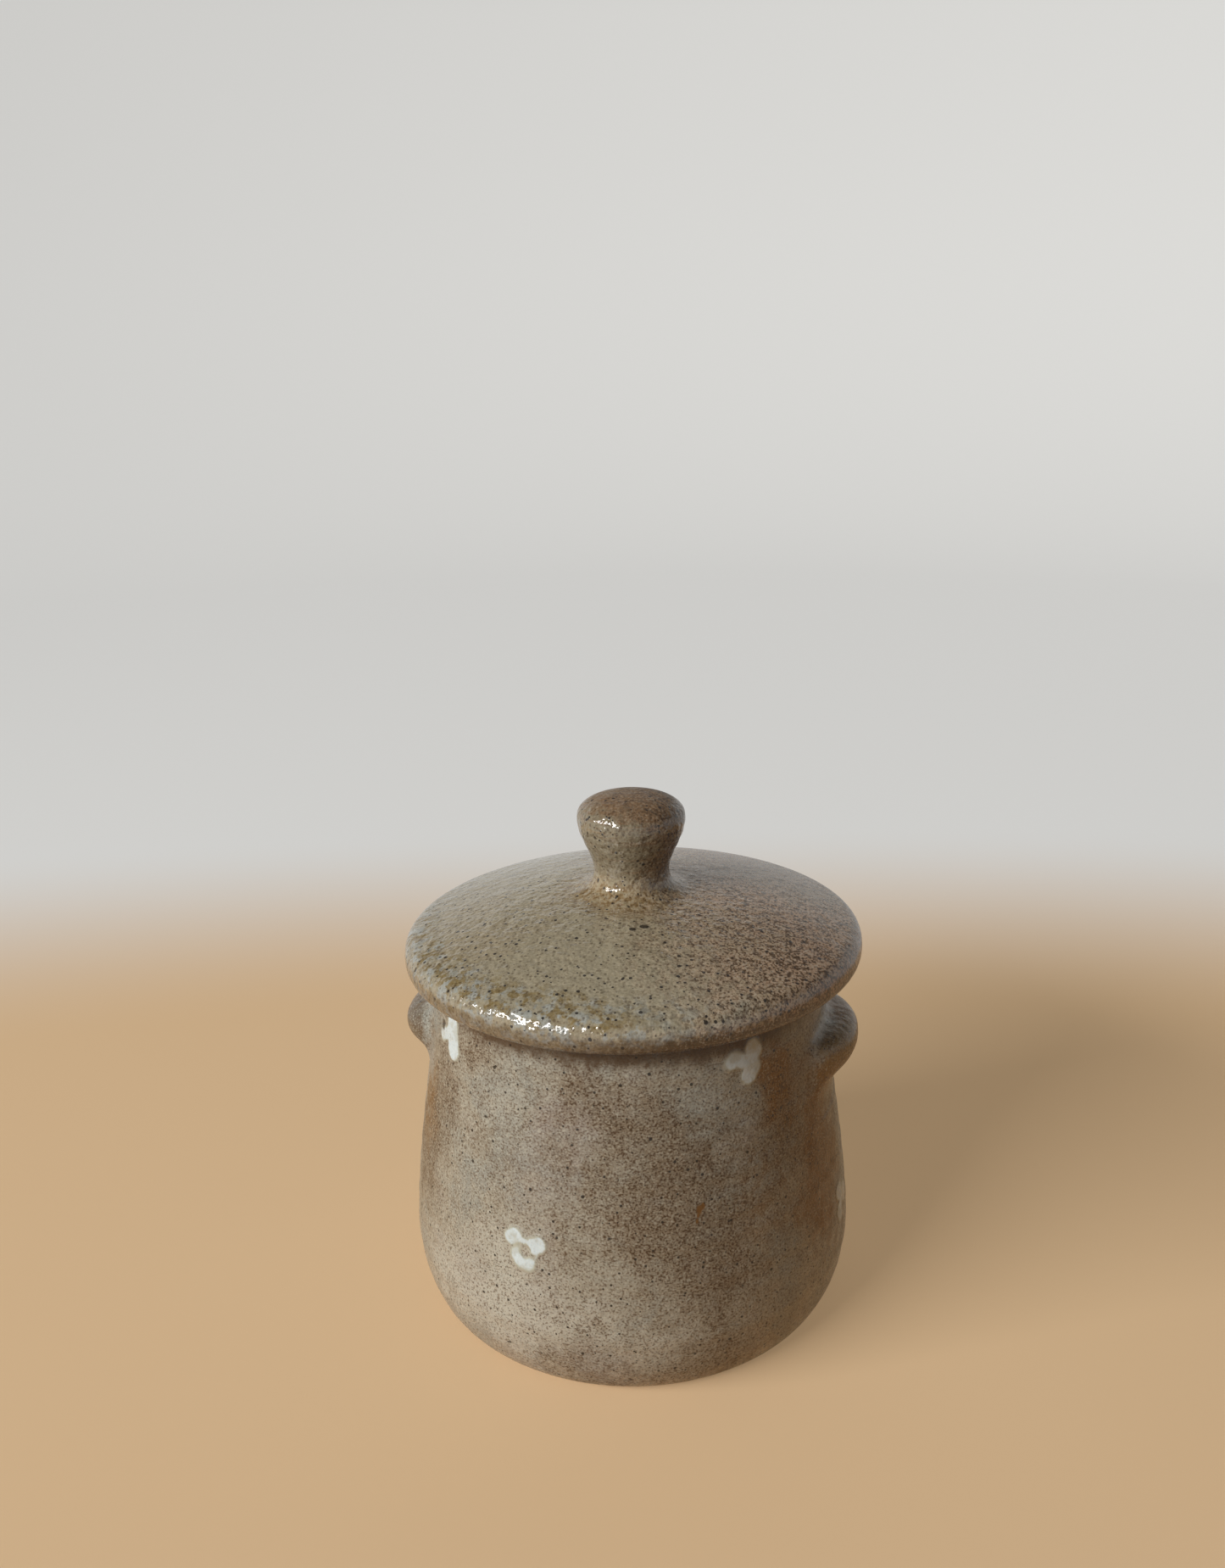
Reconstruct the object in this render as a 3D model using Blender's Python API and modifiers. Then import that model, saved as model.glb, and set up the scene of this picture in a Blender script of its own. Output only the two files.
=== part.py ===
# A small stoneware jar with an overhanging domed lid, a pommel knob and two tab lugs.
# Metres, +Z up. The jar stands on z = 0 with its axis on Z, and its lugs lie along X.

import math

import bmesh
import bpy

# Jar body
BODY_HEIGHT = 0.0827
WIDEST_RADIUS = 0.0523
WIDEST_HEIGHT = 0.018
FOOT_RADIUS = 0.0455
NECK_RADIUS = 0.0448
WALL = 0.0048
RIM_EDGE_RADIUS = 0.0016
FLOOR_THICKNESS = 0.0065
FLOOR_CORNER = 0.012
FOOT_RING_WIDTH = 0.009
FOOT_RECESS = 0.0012
FOOT_RECESS_SLOPE = 0.003

# Half of the bell's taper is straight and half is a cosine ease.
STRAIGHT_TAPER_SHARE = 0.5

# Lugs
LUG_HEIGHT = 0.0662
LUG_REACH = 0.0072
LUG_HALF_WIDTH = 0.0178
LUG_ROOT_DEPTH = 0.0062
LUG_HALF_THICKNESS = 0.0038
LUG_ROOT_RISE = 0.0022
LUG_ROOT_DROP = 0.0032
LUG_ROUND_SHARE = 0.6
LUG_PLAN_SHARE = 0.85

# Lid
LID_PROUD = 0.0002
LID_EDGE_TOP_RADIUS = 0.0042
LID_EDGE_LOW_RADIUS = 0.003
DOME_HEIGHT = 0.0159
DOME_DROP = 0.009
DOME_POWER_SHARE = 2.1
LID_WALL = 0.0055
LID_HOLLOW_CORNER = 0.006

# Flange under the lid
FLANGE_CLEARANCE = 0.0012
FLANGE_WALL = 0.0042
FLANGE_DEPTH = 0.0085
FLANGE_DRAFT = 0.0007
FLANGE_EDGE_RADIUS = 0.0013

# Knob
KNOB_HEIGHT = 0.0225
KNOB_RADIUS = 0.0123
KNOB_NECK_RADIUS = 0.0086
KNOB_NECK_HEIGHT = 0.0047
KNOB_WIDEST_HEIGHT = 0.0172
KNOB_FOOT_RADIUS = 0.0132
KNOB_FOOT_EDGE = 0.0006
KNOB_FLARE_SHARE = 1.9
KNOB_CROWN_SHARE = 0.72

# Fit and fineness
SEAT_GAP = 0.0003
CUT_OVERRUN = 0.002
AXIS_MERGE = 0.00001
TURN_STEPS = 64
KNOB_STEPS = 48
LUG_SEGMENTS = 36
LUG_RINGS = 18

# Sizes worked out from the ones above
LID_RADIUS = WIDEST_RADIUS + LID_PROUD
MOUTH_RADIUS = NECK_RADIUS - WALL
SEAT_HEIGHT = BODY_HEIGHT + SEAT_GAP
FLANGE_RADIUS = MOUTH_RADIUS - FLANGE_CLEARANCE
FLANGE_BORE = FLANGE_RADIUS - FLANGE_WALL


def clear_scene():
    for found in list(bpy.data.objects):
        bpy.data.objects.remove(found, do_unlink=True)


def new_collection(name):
    made = bpy.data.collections.new(name)
    bpy.context.scene.collection.children.link(made)
    return made


def glaze(name, colour, roughness):
    material = bpy.data.materials.new(name)
    material.use_nodes = True
    shader = material.node_tree.nodes["Principled BSDF"]
    shader.inputs["Base Color"].default_value = (*colour, 1)
    shader.inputs["Roughness"].default_value = roughness
    shader.inputs["Metallic"].default_value = 0
    return material


def arc(centre, radii, start, end, steps):
    """Points on an ellipse in the profile's plane, from one angle in degrees to another, ends included."""
    points = []
    for step in range(steps + 1):
        angle = math.radians(start + (end - start) * step / steps)
        points.append((centre[0] + radii[0] * math.cos(angle), centre[1] + radii[1] * math.sin(angle)))
    return points


def turned(name, outline, steps, material, collection):
    """A body of revolution: the closed outline at +X, which runs down its outer side, turned about Z."""
    mesh = bpy.data.meshes.new(name)
    count = len(outline)
    on_axis = outline[0][0] == 0 and outline[-1][0] == 0
    edges = [(index, index + 1) for index in range(count - 1)]
    if not on_axis:
        edges.append((count - 1, 0))
    mesh.from_pydata([(radius, 0, height) for radius, height in outline], edges, [])
    made = bpy.data.objects.new(name, mesh)
    made.data.materials.append(material)
    collection.objects.link(made)
    turn = made.modifiers.new("turn", "SCREW")
    turn.axis = "Z"
    turn.angle = math.tau
    turn.screw_offset = 0
    turn.steps = steps
    turn.render_steps = steps
    turn.use_merge_vertices = True
    turn.merge_threshold = AXIS_MERGE
    turn.use_smooth_shade = True
    return made


def wall_radius(height):
    """Outer radius of the jar at a height: a quarter ellipse at the foot, then the bell's taper to the neck."""
    if height < WIDEST_HEIGHT:
        below = (WIDEST_HEIGHT - height) / WIDEST_HEIGHT
        return FOOT_RADIUS + (WIDEST_RADIUS - FOOT_RADIUS) * math.sqrt(1 - below * below)
    along = (height - WIDEST_HEIGHT) / (BODY_HEIGHT - WIDEST_HEIGHT)
    straight = 1 - along
    eased = (1 + math.cos(math.pi * along)) / 2
    taper = STRAIGHT_TAPER_SHARE * straight + (1 - STRAIGHT_TAPER_SHARE) * eased
    return NECK_RADIUS + (WIDEST_RADIUS - NECK_RADIUS) * taper


def spread(first, last, steps):
    return [first * (1 - step / steps) + last * step / steps for step in range(steps + 1)]


def body_outline():
    """Inside of the floor, up the inner wall, over the rim, down the outer wall and across the foot."""
    corner_top = FLOOR_THICKNESS + FLOOR_CORNER
    corner_radius = wall_radius(corner_top) - WALL
    inner_corner = arc(
        (corner_radius - FLOOR_CORNER, corner_top), (FLOOR_CORNER, FLOOR_CORNER), -90, 0, 6
    )
    rim_low = BODY_HEIGHT - RIM_EDGE_RADIUS
    inner_wall = [(wall_radius(height) - WALL, height) for height in spread(corner_top, rim_low, 8)]
    outer_wall = [(wall_radius(height), height) for height in spread(rim_low, WIDEST_HEIGHT, 9)]
    inner_edge = inner_wall[-1][0] + RIM_EDGE_RADIUS
    outer_edge = outer_wall[0][0] - RIM_EDGE_RADIUS
    edge_radii = (RIM_EDGE_RADIUS, RIM_EDGE_RADIUS)
    foot = arc(
        (FOOT_RADIUS, WIDEST_HEIGHT), (WIDEST_RADIUS - FOOT_RADIUS, WIDEST_HEIGHT), 0, -90, 7
    )
    ring_inner = FOOT_RADIUS - FOOT_RING_WIDTH
    return (
        [(0, FLOOR_THICKNESS)]
        + inner_corner
        + inner_wall[1:-1]
        + arc((inner_edge, rim_low), edge_radii, 180, 90, 3)
        + arc((outer_edge, rim_low), edge_radii, 90, 0, 3)
        + outer_wall[1:-1]
        + foot
        + [(ring_inner, 0), (ring_inner - FOOT_RECESS_SLOPE, FOOT_RECESS), (0, FOOT_RECESS)]
    )


def jar_body(material, collection):
    return turned("jar_body", body_outline(), TURN_STEPS, material, collection)


def wall_cutter(material, collection):
    """The jar's outside, larger by the seat gap, which shapes the back of each lug."""
    low = LUG_HEIGHT - LUG_HALF_WIDTH
    high = LUG_HEIGHT + LUG_HALF_WIDTH
    outer = [(wall_radius(height) + SEAT_GAP, height) for height in spread(high, low, 12)]
    outline = [(0, high + CUT_OVERRUN), (outer[0][0], high + CUT_OVERRUN)]
    outline += outer
    outline += [(outer[-1][0], low - CUT_OVERRUN), (0, low - CUT_OVERRUN)]
    cutter = turned("wall_cutter", outline, TURN_STEPS, material, collection)
    cutter.hide_render = True
    cutter.display_type = "WIRE"
    return cutter


def lug_mesh(name):
    """A half-moon tab: a unit sphere drawn out to the tab's plan, blunted at its edge and thickened at its root."""
    root_radius = wall_radius(LUG_HEIGHT) - LUG_ROOT_DEPTH
    length = LUG_ROOT_DEPTH + LUG_REACH
    root_share = LUG_ROOT_DEPTH / length
    shape = bmesh.new()
    bmesh.ops.create_uvsphere(shape, u_segments=LUG_SEGMENTS, v_segments=LUG_RINGS, radius=1)
    for vertex in shape.verts:
        out, across, up = vertex.co
        blunt = math.copysign(abs(up) ** LUG_ROUND_SHARE, up)
        towards_wall = min(1, max(0, (1 - out) / (1 - root_share)))
        root_swell = LUG_ROOT_RISE if up > 0 else LUG_ROOT_DROP
        vertex.co.x = root_radius + length * out
        vertex.co.y = LUG_HALF_WIDTH * math.copysign(abs(across) ** LUG_PLAN_SHARE, across)
        vertex.co.z = blunt * (LUG_HALF_THICKNESS + root_swell * towards_wall * towards_wall)
    mesh = bpy.data.meshes.new(name)
    shape.to_mesh(mesh)
    shape.free()
    mesh.shade_smooth()
    return mesh


def lug(name, turn, cutter, material, collection):
    made = bpy.data.objects.new(name, lug_mesh(name))
    made.location = (0, 0, LUG_HEIGHT)
    made.rotation_euler = (0, 0, turn)
    made.data.materials.append(material)
    collection.objects.link(made)
    seat = made.modifiers.new("seat on the wall", "BOOLEAN")
    seat.operation = "DIFFERENCE"
    seat.solver = "EXACT"
    seat.object = cutter
    return made


def dome_height(radius):
    """Height of the lid's top over its seat."""
    return DOME_HEIGHT - DOME_DROP * (radius / LID_RADIUS) ** DOME_POWER_SHARE


def dome_slope(radius):
    """Fall of the lid's top at a radius, in degrees."""
    fall = DOME_POWER_SHARE * DOME_DROP * (radius / LID_RADIUS) ** (DOME_POWER_SHARE - 1) / LID_RADIUS
    return math.degrees(math.atan(fall))


def lid_outline():
    """Flat seat for the knob, dome, rounded edge, flat land that rests on the rim, and the hollow underside."""
    edge_centre = LID_RADIUS - LID_EDGE_TOP_RADIUS
    slope = dome_slope(edge_centre)
    shoulder = edge_centre + LID_EDGE_TOP_RADIUS * math.sin(math.radians(slope))
    edge_height = dome_height(shoulder) - LID_EDGE_TOP_RADIUS * math.cos(math.radians(slope))
    dome = [
        (radius, dome_height(radius)) for radius in spread(KNOB_FOOT_RADIUS, shoulder, 9)[:-1]
    ]
    hollow_height = dome_height(FLANGE_BORE) - LID_WALL
    hollow_edge = FLANGE_BORE - LID_HOLLOW_CORNER
    hollow = [
        (radius, dome_height(radius) - LID_WALL) for radius in spread(hollow_edge, 0, 5)[1:]
    ]
    return (
        [(0, dome_height(KNOB_FOOT_RADIUS))]
        + dome
        + arc(
            (edge_centre, edge_height),
            (LID_EDGE_TOP_RADIUS, LID_EDGE_TOP_RADIUS),
            90 - slope,
            0,
            5,
        )
        + arc(
            (LID_RADIUS - LID_EDGE_LOW_RADIUS, LID_EDGE_LOW_RADIUS),
            (LID_EDGE_LOW_RADIUS, LID_EDGE_LOW_RADIUS),
            0,
            -90,
            5,
        )
        + arc(
            (hollow_edge, 0),
            (LID_HOLLOW_CORNER, hollow_height),
            0,
            75,
            5,
        )
        + hollow
    )


def lid_disc(material, collection):
    return turned("lid", lid_outline(), TURN_STEPS, material, collection)


def flange_outline():
    """The locating ring: a little smaller at its foot, with both lower edges rounded."""
    top = -SEAT_GAP
    low = top - FLANGE_DEPTH
    outer = FLANGE_RADIUS - FLANGE_DRAFT
    inner = FLANGE_BORE + FLANGE_DRAFT
    edge_radii = (FLANGE_EDGE_RADIUS, FLANGE_EDGE_RADIUS)
    edge_height = low + FLANGE_EDGE_RADIUS
    return (
        [(FLANGE_BORE, top), (FLANGE_RADIUS, top)]
        + arc((outer - FLANGE_EDGE_RADIUS, edge_height), edge_radii, 0, -90, 4)
        + arc((inner + FLANGE_EDGE_RADIUS, edge_height), edge_radii, -90, -180, 4)
    )


def lid_flange(material, collection):
    return turned("lid_flange", flange_outline(), TURN_STEPS, material, collection)


def knob_outline():
    """Rounded crown, flare down to the neck and a hollow curve out to the foot, over the lid's flat seat."""
    foot = dome_height(KNOB_FOOT_RADIUS) + SEAT_GAP
    crown = []
    for step in range(9):
        angle = math.pi / 2 * (1 - step / 8)
        out = math.cos(angle) ** KNOB_CROWN_SHARE if step else 0
        up = math.sin(angle) ** KNOB_CROWN_SHARE if step < 8 else 0
        rise = (KNOB_HEIGHT - KNOB_WIDEST_HEIGHT) * up
        crown.append((KNOB_RADIUS * out, foot + KNOB_WIDEST_HEIGHT + rise))
    flare = []
    for step in range(1, 8):
        along = 1 - step / 7
        out = math.sin(math.pi / 2 * along) ** KNOB_FLARE_SHARE
        height = KNOB_NECK_HEIGHT + (KNOB_WIDEST_HEIGHT - KNOB_NECK_HEIGHT) * along
        flare.append((KNOB_NECK_RADIUS + (KNOB_RADIUS - KNOB_NECK_RADIUS) * out, foot + height))
    fillet = arc(
        (KNOB_FOOT_RADIUS, foot + KNOB_NECK_HEIGHT),
        (KNOB_FOOT_RADIUS - KNOB_NECK_RADIUS, KNOB_NECK_HEIGHT - KNOB_FOOT_EDGE),
        180,
        270,
        6,
    )
    return crown + flare + fillet[1:] + [(KNOB_FOOT_RADIUS, foot), (0, foot)]


def lid_knob(material, collection):
    return turned("lid_knob", knob_outline(), KNOB_STEPS, material, collection)


def lid_axis(collection):
    """The empty that carries the lid: it lies on the lift's axis, in the plane where the lid rests on the rim."""
    empty = bpy.data.objects.new("lid_lift_axis", None)
    empty.empty_display_size = LID_RADIUS
    empty.location = (0, 0, SEAT_HEIGHT)
    collection.objects.link(empty)
    return empty


def build():
    clear_scene()
    parts = new_collection("lidded_jar")
    cutters = new_collection("cutters")
    cutters.hide_render = True
    body_glaze = glaze("body_glaze", (0.36, 0.31, 0.24), 0.38)
    lug_glaze = glaze("lug_glaze", (0.39, 0.35, 0.27), 0.36)
    lid_glaze = glaze("lid_glaze", (0.37, 0.34, 0.27), 0.22)
    knob_glaze = glaze("knob_glaze", (0.34, 0.28, 0.21), 0.2)
    bare_clay = glaze("bare_clay", (0.45, 0.33, 0.23), 0.75)

    jar_body(body_glaze, parts)
    cutter = wall_cutter(bare_clay, cutters)
    lug("lug_right", 0, cutter, lug_glaze, parts)
    lug("lug_left", math.pi, cutter, lug_glaze, parts)

    axis = lid_axis(parts)
    for piece in (
        lid_disc(lid_glaze, parts),
        lid_flange(bare_clay, parts),
        lid_knob(knob_glaze, parts),
    ):
        piece.parent = axis


build()
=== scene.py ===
import math

import bpy
import numpy as np
from mathutils import Matrix, Vector


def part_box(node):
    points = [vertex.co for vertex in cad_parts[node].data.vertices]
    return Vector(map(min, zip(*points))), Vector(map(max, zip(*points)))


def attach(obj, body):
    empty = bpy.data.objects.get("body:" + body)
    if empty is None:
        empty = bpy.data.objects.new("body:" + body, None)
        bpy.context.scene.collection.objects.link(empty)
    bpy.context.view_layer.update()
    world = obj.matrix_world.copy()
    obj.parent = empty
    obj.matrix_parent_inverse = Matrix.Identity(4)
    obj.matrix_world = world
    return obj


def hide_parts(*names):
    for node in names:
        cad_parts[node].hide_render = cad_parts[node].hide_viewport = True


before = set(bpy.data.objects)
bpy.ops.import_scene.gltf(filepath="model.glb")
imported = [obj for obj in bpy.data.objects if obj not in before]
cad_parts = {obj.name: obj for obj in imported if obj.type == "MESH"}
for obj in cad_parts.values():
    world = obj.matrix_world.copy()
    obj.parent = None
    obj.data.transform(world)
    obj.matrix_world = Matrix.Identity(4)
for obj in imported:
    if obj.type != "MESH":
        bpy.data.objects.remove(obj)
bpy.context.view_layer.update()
print("frame loaded:", ", ".join(sorted(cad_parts)))

mm = 0.001  # shapes are worked out in millimetres and scaled once, when a mesh is made


# curves and meshes

def smoothStep(low, high, value):
    along = np.clip((np.asarray(value, float) - low) / (high - low), 0, 1)
    return along * along * (3 - 2 * along)


def respace(points, step):
    # the same outline with its points evenly spaced, both ends kept
    points = np.array(points, float)
    run = np.concatenate(([0], np.cumsum(np.linalg.norm(np.diff(points, axis=0), axis=1))))
    count = max(2, int(round(run[-1] / step)) + 1)
    even = np.linspace(0, run[-1], count)
    return np.column_stack([np.interp(even, run, points[:, side]) for side in range(points.shape[1])])


def curve(controls, count):
    # a smooth curve through its control points (Catmull-Rom), as count points
    controls = np.array(controls, float)
    padded = np.vstack((2 * controls[0] - controls[1], controls, 2 * controls[-1] - controls[-2]))
    result = []
    for where in np.linspace(0, len(controls) - 1, count):
        first = min(int(where), len(controls) - 2)
        t = where - first
        a, b, c, d = padded[first:first + 4]
        result.append(0.5 * (2 * b + (c - a) * t + (2 * a - 5 * b + 4 * c - d) * t ** 2
                             + (3 * b - a - 3 * c + d) * t ** 3))
    return np.array(result)


def quarterRound(centre, radii, start, end, count=14):
    angles = np.radians(np.linspace(start, end, count))
    return np.column_stack((centre[0] + radii[0] * np.cos(angles), centre[1] + radii[1] * np.sin(angles)))


def levelRing(radius, height, angles):
    # one level ring of a turned skin
    return np.column_stack((radius * np.cos(angles), radius * np.sin(angles), np.full(len(angles), height)))


def meshPiece(name, points, faces, material):
    mesh = bpy.data.meshes.new(name)
    mesh.from_pydata((np.asarray(points) * mm).tolist(), [], faces)
    mesh.validate()
    mesh.shade_smooth()
    mesh.materials.append(material)
    piece = bpy.data.objects.new(name, mesh)
    bpy.context.scene.collection.objects.link(piece)
    return piece


def turnedFaces(rings, around):
    # faces of a turned skin whose first and last rings have shrunk to one point each
    faces = []
    for ring in range(rings - 1):
        for step in range(around):
            onward = (step + 1) % around
            low = 1 + (ring - 1) * around
            if ring == 0:
                faces.append((0, 1 + step, 1 + onward))
            elif ring == rings - 2:
                faces.append((low + step, low + around, low + onward))
            else:
                faces.append((low + step, low + around + step, low + around + onward, low + onward))
    return faces


# the jar's wall; where no note says otherwise, sizes are in millimetres and angles in degrees

jar = dict(
    height=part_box("jar_body")[1].z / mm,
    widest=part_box("jar_body")[1].x / mm,
    widestAt=18.0,
    foot=45.5,
    neck=44.8,
    wall=4.8,
    rimRound=1.6,
    floorTop=6.5,
    floorCorner=12.0,
    footRing=9.0,      # width of the flat ring that it stands on
    footRecess=1.2,
    recessSlope=6.0,   # how wide the slope from the ring into the recess is
    around=320,        # points in a ring
    ringStep=0.42,     # from ring to ring on the outside
    wobble=0.10,       # how far out of round the throwing left it
    throwing=0.045,    # depth of the finger rings
)


def wallRadius(height):
    # a rounded foot up to the belly, then half a straight taper and half a cosine ease
    height = np.asarray(height, float)
    below = np.clip((jar["widestAt"] - height) / jar["widestAt"], 0, 1)
    belly = jar["foot"] + (jar["widest"] - jar["foot"]) * np.sqrt(1 - below ** 2)
    along = np.clip((height - jar["widestAt"]) / (jar["height"] - jar["widestAt"]), 0, 1)
    taper = 0.5 * (1 - along) + 0.25 * (1 + np.cos(math.pi * along))
    return np.where(height < jar["widestAt"], belly, jar["neck"] + (jar["widest"] - jar["neck"]) * taper)


def handThrown(angle, height):
    # slow unevenness round the wall, and shallow rings that the fingers left
    slow = (np.cos(2 * angle + 0.7) + 0.5 * np.cos(3 * angle - 1.1 + height / 38)
            + 0.3 * np.cos(5 * angle + height / 21))
    rings = (np.sin(height / 1.15 + 0.9 * np.cos(angle + 0.4))
             + 0.6 * np.sin(height / 0.72 + 1.3 * np.cos(angle - 1.0)))
    fade = smoothStep(0.5, 6, height) * (1 - smoothStep(jar["height"] - 5, jar["height"] - 1, height))
    return (jar["wobble"] * slow + jar["throwing"] * rings) * fade


# the two lugs, pressed out of the wall: a section from above to below and a half-moon plan

lugs = dict(
    section=[          # out from the wall, and above or below the lug's middle
        (0, 8.6), (0.05, 7.6), (0.32, 6.4), (1.0, 5.3), (2.1, 4.5), (3.5, 3.95), (5.0, 3.3),
        (6.3, 2.4), (7.15, 1.2), (7.4, 0), (7.2, -1.3), (6.3, -2.6), (5.0, -3.5), (3.5, -4.3),
        (2.1, -5.2), (1.0, -6.4), (0.3, -8.0), (0.05, -9.6), (0, -10.8)],
    sectionReach=7.4,  # how far this section stands out, before it is sized to a lug's reach
    planPower=0.78,    # how bluntly the half-moon ends
    endSoftness=0.9,
    pair=dict(         # side in radians; above and below stretch the section; front, back: half widths
        right=dict(side=0.0, turn=-1.1, height=65.1, reach=7.2, above=1.0, below=1.3,
                   sag=-1.4, front=19.1, back=15.2, fullness=2.4),
        left=dict(side=math.pi, turn=-1.7, height=67.4, reach=7.0, above=0.7, below=1.05,
                  sag=1.1, front=16.1, back=17.6, fullness=3.0),
    ),
)


def lugProfile(lug):
    section = np.array(lugs["section"], float)
    section[:, 0] *= lug["reach"] / lugs["sectionReach"]
    section[:, 1] *= np.where(section[:, 1] > 0, lug["above"], lug["below"])
    section[:, 1] -= lug["sag"] * section[:, 0] / lug["reach"]
    return respace(curve(section, 400), 0.05)


def lugPlan(lug):
    # how much of the lug's reach is left at a distance from its middle, its ends softened
    step = 0.05
    across = np.linspace(-30, 30, 1201)  # well past both ends, a value at each step
    half = np.where(across < 0, lug["front"], lug["back"])
    plan = np.clip(1 - (np.abs(across) / half) ** lug["fullness"], 0, 1) ** lugs["planPower"]
    bell = np.exp(-0.5 * (np.arange(-60, 61) * step / lugs["endSoftness"]) ** 2)
    return across, np.convolve(plan, bell / bell.sum(), "same")


lugShapes = {name: (lugProfile(lug), lugPlan(lug)) for name, lug in lugs["pair"].items()}


def jarSkin(angle, height):
    # a point of the jar's outside: bell wall, unevenness and lugs
    angle, height = np.broadcast_arrays(np.asarray(angle, float), np.asarray(height, float))
    risen, pushed, gathered = height.copy(), np.zeros(height.shape), np.zeros(height.shape)
    for name, lug in lugs["pair"].items():
        profile, plan = lugShapes[name]
        away = angle - lug["side"]
        away = np.arctan2(np.sin(away), np.cos(away))
        across = (away - math.radians(lug["turn"])) * wallRadius(lug["height"])
        if name == "left":
            across = -across
        pull = np.interp(across, *plan) * (np.abs(away) < 1.5)
        top, bottom = profile[0, 1], profile[-1, 1]
        along = np.clip((top - (height - lug["height"])) / (top - bottom), 0, 1) * (len(profile) - 1)
        inside = (along > 0) & (along < len(profile) - 1)
        gather = smoothStep(0, 0.75, pull) * inside
        level = np.interp(along, np.arange(len(profile)), profile[:, 1])
        risen = risen + (level + lug["height"] - height) * gather
        pushed = pushed + np.interp(along, np.arange(len(profile)), profile[:, 0]) * pull
        gathered = gathered + gather
    radius = wallRadius(risen) + handThrown(angle, risen) * (1 - gathered) + pushed
    return np.stack((radius * np.cos(angle), radius * np.sin(angle), risen), axis=-1)


def buildJar(material):
    # inside, from the middle of the floor up to the rim
    rimLow = jar["height"] - jar["rimRound"]
    cornerTop = jar["floorTop"] + jar["floorCorner"]
    cornerOut = float(wallRadius(cornerTop)) - jar["wall"]
    floorLine = respace([(0, jar["floorTop"]), (cornerOut - jar["floorCorner"], jar["floorTop"])], 2.5)
    corner = quarterRound((cornerOut - jar["floorCorner"], cornerTop), (jar["floorCorner"],) * 2, -90, 0)
    heights = np.linspace(cornerTop, rimLow, 40)
    innerWall = np.column_stack((wallRadius(heights) - jar["wall"], heights))
    innerEdge = innerWall[-1, 0] + jar["rimRound"]
    outerEdge = float(wallRadius(rimLow)) - jar["rimRound"]
    rim = np.vstack((quarterRound((innerEdge, rimLow), (jar["rimRound"],) * 2, 180, 90, 8),
                     quarterRound((outerEdge, rimLow), (jar["rimRound"],) * 2, 90, 0, 8)))
    inside = np.vstack((floorLine, corner[1:], innerWall[1:], rim[1:-1]))

    # outside, down to the foot ring, and the recess within it
    heights = np.linspace(rimLow, jar["widestAt"], 300)
    wallLine = np.column_stack((wallRadius(heights), heights))
    footSpan = (jar["widest"] - jar["foot"], jar["widestAt"])
    footLine = quarterRound((jar["foot"], jar["widestAt"]), footSpan, 0, -90, 60)
    outside = respace(np.vstack((wallLine, footLine[1:])), jar["ringStep"])
    ringIn, recess = jar["foot"] - jar["footRing"], jar["footRecess"]
    slopeEnd = ringIn - jar["recessSlope"]
    slope = curve([(ringIn, 0), (ringIn - 1.2, 0.35), (ringIn - 3, recess), (slopeEnd, recess)], 10)
    under = np.vstack((respace([(jar["foot"], 0), (ringIn, 0)], 1.5)[1:], slope[1:],
                       respace([(slopeEnd, recess), (0, recess)], 3)[1:]))

    angles = np.arange(jar["around"]) * math.tau / jar["around"]
    rows = [levelRing(radius, height, angles) for radius, height in inside[1:]]
    rows += [jarSkin(angles, height) for height in outside[:, 1]]
    rows += [levelRing(radius, height, angles) for radius, height in under[:-1]]
    points = np.vstack(([[0, 0, jar["floorTop"]]], *rows, [[0, 0, recess]]))
    piece = meshPiece("jar_skin", points, turnedFaces(len(rows) + 2, jar["around"]), material)
    print("jar:", len(points), "points")
    return piece


# slip flowers dabbed on the wall

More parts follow.
